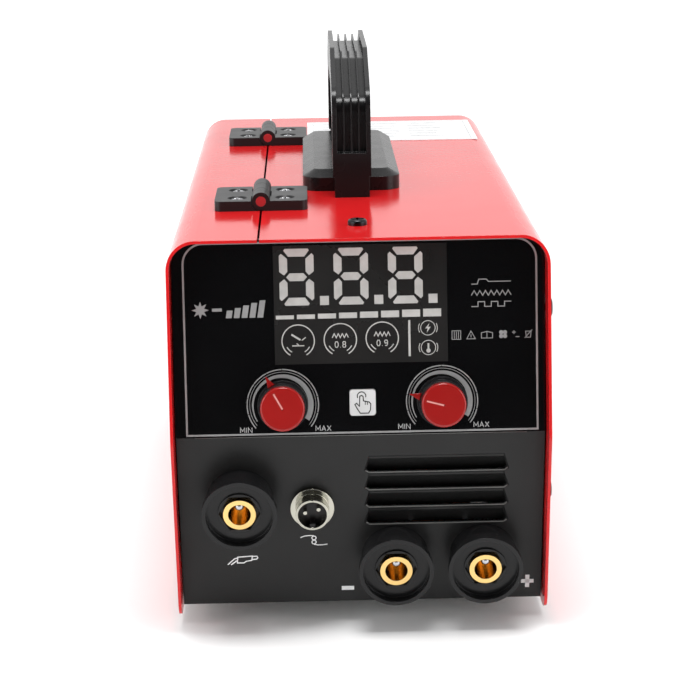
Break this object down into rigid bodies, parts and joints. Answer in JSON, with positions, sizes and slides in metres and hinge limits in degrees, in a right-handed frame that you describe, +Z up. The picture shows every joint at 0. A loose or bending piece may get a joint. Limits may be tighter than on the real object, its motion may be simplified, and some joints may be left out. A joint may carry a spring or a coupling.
{
  "type": "inverter welder",
  "caption": "Compact inverter welder in a red sheet-steel case with a hinged wire-feed door, leaning control panel, twist-lock sockets and a carrying handle.",
  "frame": {"origin": "on the floor under the middle of the machine, at the centre of the bounding box's base", "axes": "+X to the user's right, +Y to the rear, +Z up; the control panel faces -Y"},
  "size_m": [0.1544, 0.3562, 0.223],
  "materials": {
    "red_paint": "gloss",
    "black_paint": "satin",
    "zinc_steel": "satin",
    "black_screws": "satin",
    "hinge_screw_steel": "satin",
    "foot_rubber": "matte",
    "label_white": "matte",
    "handle_plastic": "satin",
    "hinge_plastic": "satin",
    "red_pin": "satin",
    "overlay_film": "gloss",
    "window_film": "gloss",
    "circuit_board": "satin",
    "pot_metal": "satin",
    "button_white": "satin",
    "nut_steel": "satin",
    "nickel": "polished",
    "insert_black": "satin",
    "socket_plastic": "satin",
    "socket_brass": "polished",
    "knob_black": "satin",
    "knob_red": "gloss",
    "fan_plastic": "satin",
    "guard_wire": "polished",
    "switch_plastic": "satin",
    "rocker_red": "gloss",
    "gland_nylon": "satin",
    "sink_aluminium": "satin",
    "ferrite_copper": "matte",
    "feeder_plastic": "satin",
    "guide_brass": "satin",
    "gearmotor_metal": "satin",
    "hard_steel": "satin",
    "arm_plastic": "satin",
    "tension_knob_plastic": "satin",
    "spool_plastic": "satin",
    "welding_wire": "satin"
  },
  "bodies": {
    "chassis": {"base_tray": "zinc_steel", "front_panel": "black_paint", "rear_panel": "black_paint", "divider_panel": "zinc_steel", "main_cover": "red_paint", "rubber_feet": "foot_rubber", "case_fasteners": "zinc_steel", "cover_screws": "black_screws", "rating_label": "label_white", "carry_handle": "handle_plastic", "handle_base": "handle_plastic", "hinge_cover_leaves": "hinge_plastic", "hinge_pins": "red_pin", "hinge_cover_screws": "hinge_screw_steel", "control_overlay": "overlay_film", "display_window": "window_film", "control_board": "circuit_board", "potentiometers": "pot_metal", "socket_nuts": "nut_steel", "connector_shell": "nickel", "connector_insert": "insert_black", "connector_pins": "nickel", "torch_socket_body": "socket_plastic", "torch_socket_contact": "socket_brass", "negative_socket_body": "socket_plastic", "negative_socket_contact": "socket_brass", "positive_socket_body": "socket_plastic", "positive_socket_contact": "socket_brass", "fan_frame": "fan_plastic", "fan_guard": "guard_wire", "switch_housing": "switch_plastic", "cable_gland": "gland_nylon", "main_board": "circuit_board", "heat_sinks": "sink_aluminium", "transformer": "ferrite_copper", "output_choke": "ferrite_copper", "feeder_plate": "feeder_plastic", "wire_guides": "guide_brass", "feeder_gearmotor": "gearmotor_metal", "spool_hub": "zinc_steel"},
    "door": {"side_door": "red_paint", "hinge_door_leaves": "hinge_plastic", "hinge_door_screws": "hinge_screw_steel", "latch_housing": "zinc_steel"},
    "latch_bolt": {"latch_slider": "hard_steel"},
    "left_knob": {"left_knob_skirt": "knob_black", "left_knob_cap": "knob_red"},
    "right_knob": {"right_knob_skirt": "knob_black", "right_knob_cap": "knob_red"},
    "mode_key": {"mode_button": "button_white"},
    "fan": {"fan_rotor": "fan_plastic"},
    "rocker": {"power_rocker": "rocker_red"},
    "spool": {"wire_spool": "spool_plastic", "wire_winding": "welding_wire"},
    "feed_roll": {"drive_roll": "hard_steel"},
    "lift_arm": {"pressure_arm": "arm_plastic"},
    "idle_roll": {"pressure_roller": "hard_steel"},
    "tensioner": {"tensioner_stud": "hard_steel", "tensioner_spring": "hard_steel"},
    "tension_nut": {"tension_knob": "tension_knob_plastic"}
  },
  "joints": [
    {"name": "door_hinge", "type": "hinge", "parent": "chassis", "child": "door", "pos_m": [-0.0388, 0, 0.167], "axis": [0, 1, 0], "range_deg": [0, 115]},
    {"name": "latch_slide", "type": "slide", "parent": "door", "child": "latch_bolt", "axis": [0, 0, -1], "range_m": [0, 0.008]},
    {"name": "left_knob_turn", "type": "hinge", "parent": "chassis", "child": "left_knob", "pos_m": [-0.0307, -0.16819, 0.09698], "axis": [0, -0.9901, 0.14], "range_deg": [-164, 106]},
    {"name": "right_knob_turn", "type": "hinge", "parent": "chassis", "child": "right_knob", "pos_m": [0.0324, -0.16814, 0.09727], "axis": [0, -0.9901, 0.14], "range_deg": [-210.2, 59.8]},
    {"name": "mode_press", "type": "slide", "parent": "chassis", "child": "mode_key", "axis": [0, 0.9901, -0.14], "range_m": [0, 0.0006], "stiffness_N_per_m": 900},
    {"name": "fan_spin", "type": "hinge", "parent": "chassis", "child": "fan", "pos_m": [0.029, 0.1538, 0.0582], "axis": [0, 1, 0], "continuous": true},
    {"name": "power_rock", "type": "hinge", "parent": "chassis", "child": "rocker", "pos_m": [0.008, 0.163, 0.13], "axis": [1, 0, 0], "range_deg": [0, 18]},
    {"name": "spool_spin", "type": "hinge", "parent": "chassis", "child": "spool", "pos_m": [-0.0465, 0.075, 0.0742], "axis": [1, 0, 0], "continuous": true},
    {"name": "feed_roll_spin", "type": "hinge", "parent": "chassis", "child": "feed_roll", "pos_m": [-0.0488, -0.075, 0.04078], "axis": [1, 0, 0], "continuous": true},
    {"name": "arm_lift", "type": "hinge", "parent": "chassis", "child": "lift_arm", "pos_m": [-0.0488, -0.049, 0.07208], "axis": [-1, 0, 0], "range_deg": [0, 60]},
    {"name": "idle_roll_spin", "type": "hinge", "parent": "lift_arm", "child": "idle_roll", "pos_m": [-0.0488, -0.075, 0.06608], "axis": [1, 0, 0], "continuous": true},
    {"name": "tensioner_swing", "type": "hinge", "parent": "chassis", "child": "tensioner", "pos_m": [-0.06, -0.103, 0.03978], "axis": [1, 0, 0], "range_deg": [-35, 0]},
    {"name": "tension_turn", "type": "hinge", "parent": "tensioner", "child": "tension_nut", "pos_m": [-0.06, -0.13168, 0.08074], "axis": [0, -0.5736, 0.8192], "range_deg": [-180, 180]}
  ]
}
